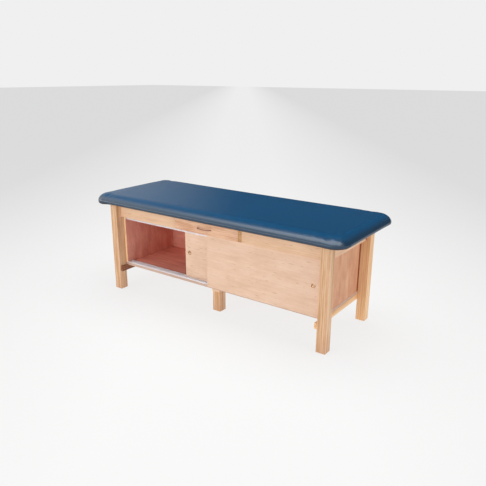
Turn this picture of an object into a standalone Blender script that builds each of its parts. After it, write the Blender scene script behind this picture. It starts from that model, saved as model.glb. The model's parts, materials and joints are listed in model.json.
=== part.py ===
"""Wooden treatment table: padded top, four corner legs, drawer and a cabinet with two bypass doors.

Frame: origin on the floor under the middle of the table, +X along the table's length,
-Y towards the side with the doors and the drawer, +Z up.  All values are in metres.
"""

import math

import bmesh
import bpy
from mathutils import Matrix, Vector

INCH = 0.0254
GAP = 0.0003                                # clearance between solids that touch
WELD_DISTANCE = 0.00001
CUTTER_OVERRUN = 0.01                       # how far a cutter stands outside what it cuts
EMPTY_SIZE = 0.05
ROUND_SEGMENTS = 2                          # bevel steps on the edges that show most

# Frame ---------------------------------------------------------------------------------------
FRAME_HALF_LENGTH = 35.7 * INCH             # to the outer faces of the corner legs
FRAME_HALF_WIDTH = 12.44 * INCH
FRAME_TOP = 26.75 * INCH
LEG_WIDTH = 2.5 * INCH
LEG_ROUND = 0.10 * INCH
BOARD_ROUND = 0.05 * INCH
GLIDE_HEIGHT = 0.2 * INCH
GLIDE_RADIUS = 0.55 * INCH
GLIDE_EDGE_HEIGHT = 0.10 * INCH             # where its straight side ends
GLIDE_TURN_HEIGHT = 0.03 * INCH
GLIDE_TURN_RADIUS = 0.51 * INCH
GLIDE_FOOT_RADIUS = 0.41 * INCH             # of the flat that stands on the floor
LEG_INNER_X = FRAME_HALF_LENGTH - LEG_WIDTH
LEG_INNER_Y = FRAME_HALF_WIDTH - LEG_WIDTH

APRON_BOTTOM = 22.6 * INCH
APRON_THICKNESS = 0.75 * INCH
LONG_APRON_INSET = 1.49 * INCH              # from the legs' outer faces, front and back
END_APRON_INSET = 1.0 * INCH                # the same at the two ends
LONG_APRON_OUTER = FRAME_HALF_WIDTH - LONG_APRON_INSET
LONG_APRON_INNER = LONG_APRON_OUTER - APRON_THICKNESS
END_APRON_OUTER = FRAME_HALF_LENGTH - END_APRON_INSET
END_APRON_INNER = END_APRON_OUTER - APRON_THICKNESS

END_RAIL_BOTTOM = 6.0 * INCH
END_RAIL_TOP = 7.5 * INCH
END_RAIL_THICKNESS = 0.8 * INCH
END_RAIL_HALF_LENGTH = 12.3 * INCH
CENTRE_LEG_Y = 6.67 * INCH
CENTRE_RAIL_HALF_LENGTH = 8.2 * INCH

CORNER_BLOCK_BOTTOM = 24.3 * INCH
CORNER_BLOCK_TOP = 26.5 * INCH
CORNER_BLOCK_REACH_X = 4.4 * INCH
CORNER_BLOCK_REACH_Y = 3.7 * INCH

# Cabinet -------------------------------------------------------------------------------------
BOTTOM_THICKNESS = 0.75 * INCH
PANEL_THICKNESS = 0.8 * INCH
BACK_THICKNESS = 0.25 * INCH
BACK_INNER_Y = 10.15 * INCH
CABINET_TOP_UNDERSIDE = 22.2 * INCH
CABINET_TOP_THICKNESS = 0.375 * INCH
CABINET_HALF_LENGTH = LEG_INNER_X - GAP
CABINET_FRONT_Y = -LEG_INNER_Y
FLOOR_TOP = END_RAIL_TOP + BOTTOM_THICKNESS
BAY_HALF_LENGTH = LEG_INNER_X - PANEL_THICKNESS
CLEAT_WIDTH = 0.75 * INCH

TRACK_WALL = 0.08 * INCH
TRACK_CHANNEL = 0.73 * INCH
TRACK_HEIGHT = 0.40 * INCH
TRACK_DEPTH = 3 * TRACK_WALL + 2 * TRACK_CHANNEL

# Sliding doors -------------------------------------------------------------------------------
FRONT_DOOR_LEFT = -1.0 * INCH
FRONT_DOOR_RIGHT = 33.13 * INCH
FRONT_DOOR_BOTTOM = 8.05 * INCH
FRONT_DOOR_TOP = 22.5 * INCH
FRONT_DOOR_BACK_Y = -10.0 * INCH
FRONT_DOOR_THICKNESS = 0.55 * INCH
REAR_DOOR_LEFT = -9.9 * INCH
REAR_DOOR_WIDTH = 33.35 * INCH
REAR_DOOR_BOTTOM = 8.46 * INCH
REAR_DOOR_TOP = 22.0 * INCH
REAR_DOOR_THICKNESS = 0.58 * INCH
DOOR_ROUND = 0.04 * INCH
CUP_HEIGHT = 15.75 * INCH
CUP_INSET_FRONT_DOOR = 2.33 * INCH          # from the door's right edge
CUP_INSET_REAR_DOOR = 1.55 * INCH           # from the door's left edge
CUP_BORE = 0.50 * INCH
CUP_RIM = 0.62 * INCH
CUP_DEPTH = 0.34 * INCH
CUP_WALL = 0.035 * INCH
CUP_FILLET = 0.085 * INCH                   # between the cup's wall and its floor
CUP_LIP = 0.014 * INCH                      # how far the rim's inner edge is rolled
SHOE_WIDTH = 1.5 * INCH
SHOE_INSET = 2.5 * INCH                     # shoe centres from the door's edges
SHOE_PLATE = 0.24 * INCH
SHOE_PLATE_HEIGHT = 0.70 * INCH
SHOE_ARM = 0.20 * INCH
SHOE_CLEARANCE = 0.05 * INCH                # above the track's walls
SHOE_SIDE_CLEARANCE = 0.10 * INCH           # on each side in the channel
EDGE_GLIDE_LENGTH = 2.0 * INCH
EDGE_GLIDE_HALF_WIDTH = 0.20 * INCH
EDGE_GLIDE_HEIGHT = 0.09 * INCH

# Drawer --------------------------------------------------------------------------------------
DRAWER_FRONT_LEFT = -11.64 * INCH
DRAWER_FRONT_RIGHT = 9.44 * INCH
DRAWER_FRONT_BOTTOM = 22.66 * INCH
DRAWER_FRONT_TOP = 26.64 * INCH
DRAWER_OPENING_LEFT = -11.7 * INCH
POST_LEFT = 9.5 * INCH
POST_RIGHT = 10.5 * INCH
RAIL_BEHIND_RIGHT = -11.9 * INCH
RAIL_WIDTH = 1.0 * INCH
SLIDE_SPACE = 0.5 * INCH                    # between a rail and the drawer's side
SLIDE_SHEET = 0.05 * INCH
SLIDE_CENTRE_Z = 24.55 * INCH
FIXED_SLIDE_HALF_HEIGHT = 0.875 * INCH
FIXED_SLIDE_REACH = 0.36 * INCH
MOVING_SLIDE_HALF_HEIGHT = 0.74 * INCH
MOVING_SLIDE_REACH = 0.27 * INCH            # its tips pass inside the drawer opening
DRAWER_BOX_BACK_Y = 7.8 * INCH
DRAWER_BOX_BOTTOM = 23.0 * INCH
DRAWER_BOX_TOP = 26.0 * INCH
DRAWER_SIDE_THICKNESS = 0.5 * INCH
DRAWER_PLY = 0.25 * INCH
PULL_X = -1.3 * INCH
PULL_Z = 24.2 * INCH
PULL_HALF_SPAN = 2.1 * INCH
PULL_PROJECTION = 1.05 * INCH
PULL_RADIUS = 0.13 * INCH
PULL_POINTS = 21
PULL_SQUARENESS = 0.62                      # 1 is a half ellipse, less is squarer

# Padded top ----------------------------------------------------------------------------------
PAD_HALF_LENGTH = 39.95 * INCH
PAD_HALF_WIDTH = 15.25 * INCH
PAD_BOTTOM = FRAME_TOP + GAP
PAD_WIDEST = 27.25 * INCH                   # height of the rim's widest line
PAD_TOP = 29.55 * INCH
PAD_CORNER_RADIUS = 4.3 * INCH
PAD_TOP_ROLL = 3.2 * INCH                   # how far in the rim rises to the flat top
PAD_BOTTOM_ROLL = 2.4 * INCH                # how far in it falls to the flat underside
COVER_THICKNESS = 0.0012
COVER_TURN_UNDER = 4.0 * INCH               # from the rim to the cover's edge underneath
PAD_BOARD_INSET = 2.65 * INCH               # from the rim to the board's edge
PAD_BOARD_CORNER = 2.0 * INCH
PAD_BOARD_THICKNESS = 0.75 * INCH
CORNER_SEGMENTS = 8
TOP_ROLL_SEGMENTS = 7
BOTTOM_ROLL_SEGMENTS = 5

# Screws --------------------------------------------------------------------------------------
SCREW_HEAD_RADIUS = 0.004
SCREW_HEAD_HEIGHT = 0.0024
SCREW_SHANK_RADIUS = 0.0020
SCREW_CROWN_RADIUS = 0.0024                 # of the flat on the head
SCREW_EDGE_HEIGHT = 0.0012                  # of the head's straight side
TURNED_STEPS = 24
SCREW_STEPS = 12

# Finishes: base colour, roughness, metallic ---------------------------------------------------
FINISHES = {
    "leg_wood": ((0.70, 0.46, 0.28), 0.45, 0.0),
    "apron_wood": ((0.75, 0.51, 0.35), 0.45, 0.0),
    "drawer_wood": ((0.70, 0.43, 0.28), 0.45, 0.0),
    "post_wood": ((0.56, 0.33, 0.15), 0.50, 0.0),
    "door_wood": ((0.77, 0.54, 0.40), 0.42, 0.0),
    "panel_wood": ((0.62, 0.36, 0.24), 0.50, 0.0),
    "inner_wood": ((0.55, 0.30, 0.20), 0.60, 0.0),
    "aluminium": ((0.72, 0.72, 0.74), 0.35, 1.0),
    "steel": ((0.55, 0.55, 0.57), 0.35, 1.0),
    "brass": ((0.63, 0.47, 0.30), 0.35, 1.0),
    "dark_bronze": ((0.22, 0.10, 0.07), 0.40, 1.0),
    "nylon": ((0.82, 0.80, 0.75), 0.50, 0.0),
    "blue_vinyl": ((0.02, 0.09, 0.20), 0.35, 0.0),
    "foam": ((0.75, 0.70, 0.45), 0.90, 0.0),
}


# ---------------------------------------------------------------------------------------------
# Scene, materials and collections
# ---------------------------------------------------------------------------------------------

def clear_scene():
    """Remove every object, so that the script can be run again in the same file."""
    for old in list(bpy.data.objects):
        bpy.data.objects.remove(old, do_unlink=True)


def make_collection(name):
    """Return a new collection under the scene's own."""
    collection = bpy.data.collections.new(name)
    bpy.context.scene.collection.children.link(collection)
    return collection


clear_scene()
PARTS = make_collection("treatment_table")
CUTTERS = make_collection("cutters")


def move_to(obj, collection):
    """Keep an object in one collection only."""
    for old in list(obj.users_collection):
        old.objects.unlink(obj)
    collection.objects.link(obj)


def give_material(obj, finish):
    """Give a part a material of its own, in one of the finishes above."""
    colour, roughness, metallic = FINISHES[finish]
    material = bpy.data.materials.new(obj.name + "_" + finish)
    material.use_nodes = True
    shader = material.node_tree.nodes["Principled BSDF"]
    shader.inputs["Base Color"].default_value = (*colour, 1.0)
    shader.inputs["Roughness"].default_value = roughness
    shader.inputs["Metallic"].default_value = metallic
    obj.data.materials.clear()
    obj.data.materials.append(material)


def new_mesh_object(name, mesh, collection):
    """Wrap a mesh in an object and put it in a collection."""
    obj = bpy.data.objects.new(name, mesh)
    collection.objects.link(obj)
    return obj


def evaluated_mesh(obj):
    """Return a welded copy of an object's mesh, with its modifiers applied."""
    depsgraph = bpy.context.evaluated_depsgraph_get()
    mesh = bpy.data.meshes.new_from_object(obj.evaluated_get(depsgraph))
    bm = bmesh.new()
    bm.from_mesh(mesh)
    bmesh.ops.remove_doubles(bm, verts=bm.verts, dist=WELD_DISTANCE)
    bm.to_mesh(mesh)
    bm.free()
    return mesh


# ---------------------------------------------------------------------------------------------
# Shapes
# ---------------------------------------------------------------------------------------------

def add_bevel(obj, width, segments):
    """Round an object's sharp edges."""
    bevel = obj.modifiers.new("rounded_edges", "BEVEL")
    bevel.width = width
    bevel.segments = segments
    bevel.limit_method = "ANGLE"


def box(name, low, high, finish, edge=BOARD_ROUND, segments=1):
    """A board or bar between two corners, with slightly rounded edges."""
    low = Vector(low)
    high = Vector(high)
    bpy.ops.mesh.primitive_cube_add(size=1.0, location=(low + high) / 2)
    obj = bpy.context.object
    obj.name = name
    obj.data.name = name
    obj.data.transform(Matrix.Diagonal((*(high - low), 1.0)))
    move_to(obj, PARTS)
    give_material(obj, finish)
    if edge:
        add_bevel(obj, edge, segments)
    return obj


def outline_curve(name, points, half_depth):
    """A flat closed outline in the curve's own XY plane, thickened along its Z."""
    curve = bpy.data.curves.new(name, "CURVE")
    curve.dimensions = "2D"
    curve.fill_mode = "BOTH"
    curve.extrude = half_depth
    spline = curve.splines.new("POLY")
    spline.points.add(len(points) - 1)
    for point, place in zip(spline.points, points):
        point.co = (place[0], place[1], 0.0, 1.0)
    spline.use_cyclic_u = True
    return curve


def profile_along(name, axis, points, low, high, finish):
    """Extrude a profile along X (points are y, z), Y (points are x, z) or Z (points are x, y)."""
    turn = {
        "X": Matrix(((0, 0, 1, 0), (1, 0, 0, 0), (0, 1, 0, 0), (0, 0, 0, 1))),
        "Y": Matrix(((1, 0, 0, 0), (0, 0, -1, 0), (0, 1, 0, 0), (0, 0, 0, 1))),
        "Z": Matrix.Identity(4),
    }[axis]
    direction = {"X": Vector((1, 0, 0)), "Y": Vector((0, 1, 0)), "Z": Vector((0, 0, 1))}[axis]
    curve = outline_curve(name, points, (high - low) / 2)
    raw = bpy.data.objects.new(name + "_outline", curve)
    PARTS.objects.link(raw)
    raw.matrix_world = Matrix.Translation(direction * (low + high) / 2) @ turn
    bpy.context.view_layer.update()
    obj = new_mesh_object(name, evaluated_mesh(raw), PARTS)
    obj.matrix_world = raw.matrix_world
    bpy.data.objects.remove(raw, do_unlink=True)
    give_material(obj, finish)
    return obj


def turned(name, profile, steps, finish):
    """A turned shape; the profile (radius, height) runs from the top of the axis to its bottom."""
    mesh = bpy.data.meshes.new(name)
    edges = [(i, i + 1) for i in range(len(profile) - 1)]
    mesh.from_pydata([(radius, 0.0, height) for radius, height in profile], edges, [])
    obj = new_mesh_object(name, mesh, PARTS)
    screw = obj.modifiers.new("turn", "SCREW")
    screw.steps = steps
    screw.render_steps = steps
    screw.use_merge_vertices = True
    screw.merge_threshold = WELD_DISTANCE
    screw.use_smooth_shade = True
    give_material(obj, finish)
    return obj


def rounded_rectangle(half_length, half_width, corner, inset, z):
    """Points of a rounded rectangle, moved in by an inset, at one height."""
    centre_x = half_length - corner
    centre_y = half_width - corner
    radius = corner - inset
    points = []
    for quarter, (x_sign, y_sign) in enumerate(((1, 1), (-1, 1), (-1, -1), (1, -1))):
        for step in range(CORNER_SEGMENTS + 1):
            angle = (quarter + step / CORNER_SEGMENTS) * math.pi / 2
            points.append((x_sign * centre_x + radius * math.cos(angle),
                           y_sign * centre_y + radius * math.sin(angle), z))
    return points


def loft(name, rings, finish, collection):
    """A closed solid through rings of equal length, from the lowest to the highest."""
    bm = bmesh.new()
    made = [[bm.verts.new(point) for point in ring] for ring in rings]
    for low, high in zip(made, made[1:]):
        for i in range(len(low)):
            after = (i + 1) % len(low)
            bm.faces.new((low[i], low[after], high[after], high[i]))
    bm.faces.new(list(reversed(made[0])))
    bm.faces.new(made[-1])
    mesh = bpy.data.meshes.new(name)
    bm.to_mesh(mesh)
    bm.free()
    obj = new_mesh_object(name, mesh, collection)
    give_material(obj, finish)
    return obj


def slab(name, half_length, half_width, bottom, top, corner, finish, collection):
    """A flat slab with square edges and rounded plan corners."""
    rings = [rounded_rectangle(half_length, half_width, corner, 0.0, z) for z in (bottom, top)]
    return loft(name, rings, finish, collection)


def pad_form(name, skin, finish, collection):
    """The padded top's outer form, or the form that lies a skin's thickness inside it."""
    rings = []
    for step in range(-BOTTOM_ROLL_SEGMENTS, TOP_ROLL_SEGMENTS + 1):
        if step < 0:
            angle = step / BOTTOM_ROLL_SEGMENTS * math.pi / 2
            roll = PAD_BOTTOM_ROLL
            rise = PAD_WIDEST - PAD_BOTTOM - skin
        else:
            angle = step / TOP_ROLL_SEGMENTS * math.pi / 2
            roll = PAD_TOP_ROLL
            rise = PAD_TOP - PAD_WIDEST - skin
        inset = skin + (roll - skin) * (1 - math.cos(angle))
        rings.append(rounded_rectangle(PAD_HALF_LENGTH, PAD_HALF_WIDTH, PAD_CORNER_RADIUS, inset,
                                       PAD_WIDEST + rise * math.sin(angle)))
    return loft(name, rings, finish, collection)


# ---------------------------------------------------------------------------------------------
# Cuts
# ---------------------------------------------------------------------------------------------

def as_cutter(obj):
    """Mark an object as a tool that is only subtracted."""
    move_to(obj, CUTTERS)
    obj.hide_render = True
    obj.display_type = "WIRE"
    return obj


def cut(target, cutter):
    """Subtract a cutter from a part."""
    boolean = target.modifiers.new("cut_" + cutter.name, "BOOLEAN")
    boolean.operation = "DIFFERENCE"
    boolean.solver = "EXACT"
    boolean.object = cutter


def drill(name, place, radius, length, steps):
    """A round cutter along the place's own Z, centred on its origin."""
    bm = bmesh.new()
    bmesh.ops.create_cone(bm, cap_ends=True, segments=steps, radius1=radius, radius2=radius,
                          depth=length, matrix=place)
    mesh = bpy.data.meshes.new(name)
    bm.to_mesh(mesh)
    bm.free()
    return as_cutter(new_mesh_object(name, mesh, CUTTERS))


def box_cutter(name, low, high):
    """A square-edged cutter between two corners."""
    return as_cutter(box(name, low, high, "steel", edge=0))


FACING = {
    "+Y": Matrix.Rotation(-math.pi / 2, 4, "X"),
    "-Y": Matrix.Rotation(math.pi / 2, 4, "X"),
}


def facing(place, direction):
    """A matrix at a place whose Z points along one of the main directions."""
    return Matrix.Translation(Vector(place)) @ FACING[direction]


def put_screw(name, place, length, drilled):
    """A pan-head screw whose head faces the place's Z, and its clearance hole in one part."""
    profile = [
        (0.0, SCREW_HEAD_HEIGHT),
        (SCREW_CROWN_RADIUS, SCREW_HEAD_HEIGHT),
        (SCREW_HEAD_RADIUS, SCREW_EDGE_HEIGHT),
        (SCREW_HEAD_RADIUS, GAP),
        (SCREW_SHANK_RADIUS, GAP),
        (SCREW_SHANK_RADIUS, -length + SCREW_SHANK_RADIUS),
        (0.0, -length),
    ]
    screw = turned(name, profile, SCREW_STEPS, "steel")
    screw.matrix_world = place
    reach = length + 2 * CUTTER_OVERRUN
    middle = place @ Matrix.Translation((0, 0, CUTTER_OVERRUN - reach / 2))
    cut(drilled, drill(name + "_hole", middle, SCREW_SHANK_RADIUS + GAP, reach, SCREW_STEPS))
    return screw


# ---------------------------------------------------------------------------------------------
# Frame
# ---------------------------------------------------------------------------------------------

SIDES_X = {"left": -1, "right": 1}
SIDES_Y = {"front": -1, "back": 1}


def span(sign, near, far):
    """Order two distances from the middle on one side of it."""
    return (near, far) if sign > 0 else (-far, -near)


def build_corner_legs():
    """Four square legs from the glides to the underside of the pad."""
    for y_name, y_sign in SIDES_Y.items():
        for x_name, x_sign in SIDES_X.items():
            x_low, x_high = span(x_sign, LEG_INNER_X, FRAME_HALF_LENGTH)
            y_low, y_high = span(y_sign, LEG_INNER_Y, FRAME_HALF_WIDTH)
            box("leg_" + y_name + "_" + x_name, (x_low, y_low, GLIDE_HEIGHT),
                (x_high, y_high, FRAME_TOP), "leg_wood", LEG_ROUND, ROUND_SEGMENTS)


def build_centre_support():
    """Two short legs and the rail that they carry, under the middle of the cabinet."""
    half = LEG_WIDTH / 2
    for y_name, y_sign in SIDES_Y.items():
        middle = y_sign * CENTRE_LEG_Y
        box("centre_leg_" + y_name, (-half, middle - half, GLIDE_HEIGHT),
            (half, middle + half, END_RAIL_BOTTOM - GAP), "leg_wood", LEG_ROUND, ROUND_SEGMENTS)
    box("centre_rail", (-half, -CENTRE_RAIL_HALF_LENGTH, END_RAIL_BOTTOM),
        (half, CENTRE_RAIL_HALF_LENGTH, END_RAIL_TOP - GAP), "apron_wood")


def build_glides():
    """A nylon glide under each of the six legs."""
    profile = [
        (0.0, GLIDE_HEIGHT - GAP),
        (GLIDE_RADIUS, GLIDE_HEIGHT - GAP),
        (GLIDE_RADIUS, GLIDE_EDGE_HEIGHT),
        (GLIDE_TURN_RADIUS, GLIDE_TURN_HEIGHT),
        (GLIDE_FOOT_RADIUS, 0.0),
        (0.0, 0.0),
    ]
    corner_x = FRAME_HALF_LENGTH - LEG_WIDTH / 2
    corner_y = FRAME_HALF_WIDTH - LEG_WIDTH / 2
    columns = {"left": -corner_x, "right": corner_x, "centre": 0.0}
    for y_name, y_sign in SIDES_Y.items():
        for x_name, x in columns.items():
            y = CENTRE_LEG_Y if x_name == "centre" else corner_y
            glide = turned("glide_" + y_name + "_" + x_name, profile, TURNED_STEPS, "nylon")
            glide.location = (x, y_sign * y, 0.0)


def build_end_rails():
    """Low rails on the inner faces of the legs; the cabinet stands on them."""
    for x_name, x_sign in SIDES_X.items():
        x_low, x_high = span(x_sign, LEG_INNER_X - END_RAIL_THICKNESS, LEG_INNER_X - GAP)
        box("end_rail_" + x_name, (x_low, -END_RAIL_HALF_LENGTH, END_RAIL_BOTTOM),
            (x_high, END_RAIL_HALF_LENGTH, END_RAIL_TOP - GAP), "post_wood")


def build_aprons():
    """The rim of boards under the pad; the front one is in two pieces beside the drawer."""
    reach = LEG_INNER_X - GAP
    front = (-LONG_APRON_OUTER, -LONG_APRON_INNER)
    box("apron_front_left", (-reach, front[0], APRON_BOTTOM),
        (DRAWER_OPENING_LEFT, front[1], FRAME_TOP), "apron_wood")
    box("apron_front_right", (POST_RIGHT + GAP, front[0], APRON_BOTTOM),
        (reach, front[1], FRAME_TOP), "apron_wood")
    box("apron_back", (-reach, LONG_APRON_INNER, APRON_BOTTOM),
        (reach, LONG_APRON_OUTER, FRAME_TOP), "apron_wood")
    for x_name, x_sign in SIDES_X.items():
        x_low, x_high = span(x_sign, END_APRON_INNER, END_APRON_OUTER)
        box("apron_" + x_name, (x_low, -LEG_INNER_Y + GAP, APRON_BOTTOM),
            (x_high, LEG_INNER_Y - GAP, FRAME_TOP), "apron_wood")


def build_drawer_rails():
    """Two rails from front to back that carry the slides; the right one shows its end grain."""
    back = LONG_APRON_INNER - GAP
    box("drawer_rail_right", (POST_LEFT, -LONG_APRON_OUTER, APRON_BOTTOM),
        (POST_RIGHT, back, FRAME_TOP), "post_wood")
    box("drawer_rail_left",
        (RAIL_BEHIND_RIGHT - RAIL_WIDTH, -LONG_APRON_INNER + GAP, APRON_BOTTOM),
        (RAIL_BEHIND_RIGHT, back, FRAME_TOP), "apron_wood")


def build_corner_blocks():
    """Blocks that brace the aprons' corners, each notched round its leg."""
    near_x = LEG_INNER_X - GAP
    near_y = LEG_INNER_Y - GAP
    far_x = END_APRON_INNER - GAP
    far_y = LONG_APRON_INNER - GAP
    outline = [
        (near_x, far_y),
        (near_x, near_y),
        (far_x, near_y),
        (far_x, far_y - CORNER_BLOCK_REACH_Y),
        (far_x - CORNER_BLOCK_REACH_X, far_y),
    ]
    for y_name, y_sign in SIDES_Y.items():
        for x_name, x_sign in SIDES_X.items():
            corner = [(x_sign * x, y_sign * y) for x, y in outline]
            profile_along("corner_block_" + y_name + "_" + x_name, "Z", corner,
                          CORNER_BLOCK_BOTTOM, CORNER_BLOCK_TOP, "inner_wood")


# ---------------------------------------------------------------------------------------------
# Cabinet
# ---------------------------------------------------------------------------------------------

def build_cabinet():
    """Bottom, two end panels, a top and a thin back between the legs."""
    rear = BACK_INNER_Y - GAP
    top_high = CABINET_TOP_UNDERSIDE + CABINET_TOP_THICKNESS
    box("cabinet_bottom", (-CABINET_HALF_LENGTH, CABINET_FRONT_Y, END_RAIL_TOP),
        (CABINET_HALF_LENGTH, rear, FLOOR_TOP), "door_wood")
    box("cabinet_top", (-CABINET_HALF_LENGTH, CABINET_FRONT_Y, CABINET_TOP_UNDERSIDE),
        (CABINET_HALF_LENGTH, rear, top_high), "inner_wood")
    box("cabinet_back", (-CABINET_HALF_LENGTH, BACK_INNER_Y, END_RAIL_TOP),
        (CABINET_HALF_LENGTH, BACK_INNER_Y + BACK_THICKNESS, top_high), "inner_wood")
    for x_name, x_sign in SIDES_X.items():
        x_low, x_high = span(x_sign, BAY_HALF_LENGTH, CABINET_HALF_LENGTH)
        box("cabinet_panel_" + x_name, (x_low, CABINET_FRONT_Y, FLOOR_TOP + GAP),
            (x_high, rear, CABINET_TOP_UNDERSIDE - GAP), "panel_wood")


def build_panel_cleats():
    """A cleat in the corner between each front leg and the end panel behind it, joining the two."""
    front = CABINET_FRONT_Y + GAP
    for x_name, x_sign in SIDES_X.items():
        x_low, x_high = span(x_sign, LEG_INNER_X, LEG_INNER_X + CLEAT_WIDTH)
        box("panel_cleat_" + x_name, (x_low, front, END_RAIL_TOP),
            (x_high, front + CLEAT_WIDTH, APRON_BOTTOM - GAP), "post_wood")


def track_profile(base_z, up):
    """Section (y, z) of a double door track whose three walls point up (1) or down (-1)."""
    front = CABINET_FRONT_Y
    pitch = TRACK_WALL + TRACK_CHANNEL
    inner = base_z + up * TRACK_WALL
    tip = base_z + up * TRACK_HEIGHT
    points = [(front + TRACK_DEPTH, base_z), (front, base_z)]
    for wall in range(3):
        start = front + wall * pitch
        points += [(start, tip), (start + TRACK_WALL, tip)]
        if wall < 2:
            points += [(start + TRACK_WALL, inner), (start + pitch, inner)]
    return points


def build_tracks():
    """Aluminium tracks on the cabinet's bottom and under its top."""
    reach = BAY_HALF_LENGTH - GAP
    profile_along("door_track_bottom", "X", track_profile(FLOOR_TOP + GAP, 1), -reach, reach,
                  "aluminium")
    profile_along("door_track_top", "X", track_profile(CABINET_TOP_UNDERSIDE - GAP, -1), -reach,
                  reach, "aluminium")


# ---------------------------------------------------------------------------------------------
# Doors
# ---------------------------------------------------------------------------------------------

def parent_empty(name, place):
    """An empty on a moving group's slide axis."""
    empty = bpy.data.objects.new(name, None)
    empty.empty_display_size = EMPTY_SIZE
    empty.location = place
    PARTS.objects.link(empty)
    return empty


def ride_on(empty, parts):
    """Parent parts to an empty without moving them."""
    bpy.context.view_layer.update()
    for part in parts:
        world = part.matrix_world.copy()
        part.parent = empty
        part.matrix_parent_inverse = empty.matrix_world.inverted()
        part.matrix_world = world


def finger_cup(name, x, face_y):
    """A pressed round finger cup, its mouth facing -Y and its rim on the door's face."""
    rim_top = GAP + CUP_WALL
    outer = CUP_BORE + CUP_WALL
    profile = [
        (0.0, -CUP_DEPTH),
        (CUP_BORE - CUP_FILLET, -CUP_DEPTH),
        (CUP_BORE, -CUP_DEPTH + CUP_FILLET),
        (CUP_BORE, rim_top - CUP_LIP),
        (CUP_BORE + CUP_LIP, rim_top),
        (CUP_RIM - CUP_WALL, rim_top),
        (CUP_RIM, GAP),
        (outer, GAP),
        (outer, -CUP_DEPTH + CUP_FILLET),
        (outer - CUP_FILLET, -CUP_DEPTH - CUP_WALL),
        (0.0, -CUP_DEPTH - CUP_WALL),
    ]
    cup = turned(name, profile, TURNED_STEPS, "brass")
    cup.matrix_world = facing((x, face_y, CUP_HEIGHT), "-Y")
    return cup


def cup_bore(door, x, face_y):
    """The blind hole in a door that takes its finger cup."""
    depth = CUP_DEPTH + CUP_WALL + GAP
    middle = face_y + (depth - CUTTER_OVERRUN) / 2
    hole = drill(door.name + "_cup_bore", facing((x, middle, CUP_HEIGHT), "-Y"),
                 CUP_BORE + CUP_WALL + GAP, depth + CUTTER_OVERRUN, TURNED_STEPS)
    cut(door, hole)


def shoe_profile(base_z, up):
    """Section (y, z) of a shoe that hooks from a door's back over a track's front wall."""
    back = FRONT_DOOR_BACK_Y + GAP
    plate = back + SHOE_PLATE
    channel_front = CABINET_FRONT_Y + TRACK_WALL + SHOE_SIDE_CLEARANCE
    channel_back = CABINET_FRONT_Y + TRACK_WALL + TRACK_CHANNEL - SHOE_SIDE_CLEARANCE
    clear = base_z + up * (TRACK_HEIGHT + SHOE_CLEARANCE)
    tip = base_z + up * (TRACK_WALL + GAP)
    arm = clear + up * SHOE_ARM
    end = clear + up * SHOE_PLATE_HEIGHT
    return [(back, clear), (channel_front, clear), (channel_front, tip), (channel_back, tip),
            (channel_back, arm), (plate, arm), (plate, end), (back, end)]


def build_front_door():
    """The right door, in front of the tracks, with nylon shoes that hook into them."""
    face = FRONT_DOOR_BACK_Y - FRONT_DOOR_THICKNESS
    door = box("right_door_panel", (FRONT_DOOR_LEFT, face, FRONT_DOOR_BOTTOM),
               (FRONT_DOOR_RIGHT, FRONT_DOOR_BACK_Y, FRONT_DOOR_TOP), "door_wood", DOOR_ROUND,
               ROUND_SEGMENTS)
    cup_x = FRONT_DOOR_RIGHT - CUP_INSET_FRONT_DOOR
    cup_bore(door, cup_x, face)
    parts = [door, finger_cup("right_door_finger_cup", cup_x, face)]
    levels = {"bottom": (FLOOR_TOP + GAP, 1), "top": (CABINET_TOP_UNDERSIDE - GAP, -1)}
    ends = {"left": FRONT_DOOR_LEFT + SHOE_INSET, "right": FRONT_DOOR_RIGHT - SHOE_INSET}
    for level, (base_z, up) in levels.items():
        for end, x in ends.items():
            parts.append(profile_along("right_door_shoe_" + level + "_" + end, "X",
                                       shoe_profile(base_z, up), x - SHOE_WIDTH / 2,
                                       x + SHOE_WIDTH / 2, "nylon"))
    middle = (FRONT_DOOR_LEFT + FRONT_DOOR_RIGHT) / 2
    ride_on(parent_empty("right_door_slide", (middle, FRONT_DOOR_BACK_Y, FLOOR_TOP)), parts)


def build_rear_door():
    """The left door, inside the tracks' rear channels, drawn part of the way to the right."""
    channel_middle = CABINET_FRONT_Y + 2 * TRACK_WALL + 1.5 * TRACK_CHANNEL
    face = channel_middle - REAR_DOOR_THICKNESS / 2
    right = REAR_DOOR_LEFT + REAR_DOOR_WIDTH
    door = box("left_door_panel", (REAR_DOOR_LEFT, face, REAR_DOOR_BOTTOM),
               (right, face + REAR_DOOR_THICKNESS, REAR_DOOR_TOP), "door_wood", DOOR_ROUND,
               ROUND_SEGMENTS)
    cup_x = REAR_DOOR_LEFT + CUP_INSET_REAR_DOOR
    cup_bore(door, cup_x, face)
    parts = [door, finger_cup("left_door_finger_cup", cup_x, face)]
    top = REAR_DOOR_BOTTOM - GAP
    for end, x in (("left", REAR_DOOR_LEFT + SHOE_INSET), ("right", right - SHOE_INSET)):
        parts.append(box("left_door_edge_glide_" + end,
                         (x - EDGE_GLIDE_LENGTH / 2, channel_middle - EDGE_GLIDE_HALF_WIDTH,
                          top - EDGE_GLIDE_HEIGHT),
                         (x + EDGE_GLIDE_LENGTH / 2, channel_middle + EDGE_GLIDE_HALF_WIDTH,
                          top), "nylon", edge=0))
    middle = (REAR_DOOR_LEFT + right) / 2
    ride_on(parent_empty("left_door_slide", (middle, channel_middle, FLOOR_TOP)), parts)


# ---------------------------------------------------------------------------------------------
# Drawer
# ---------------------------------------------------------------------------------------------

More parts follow.
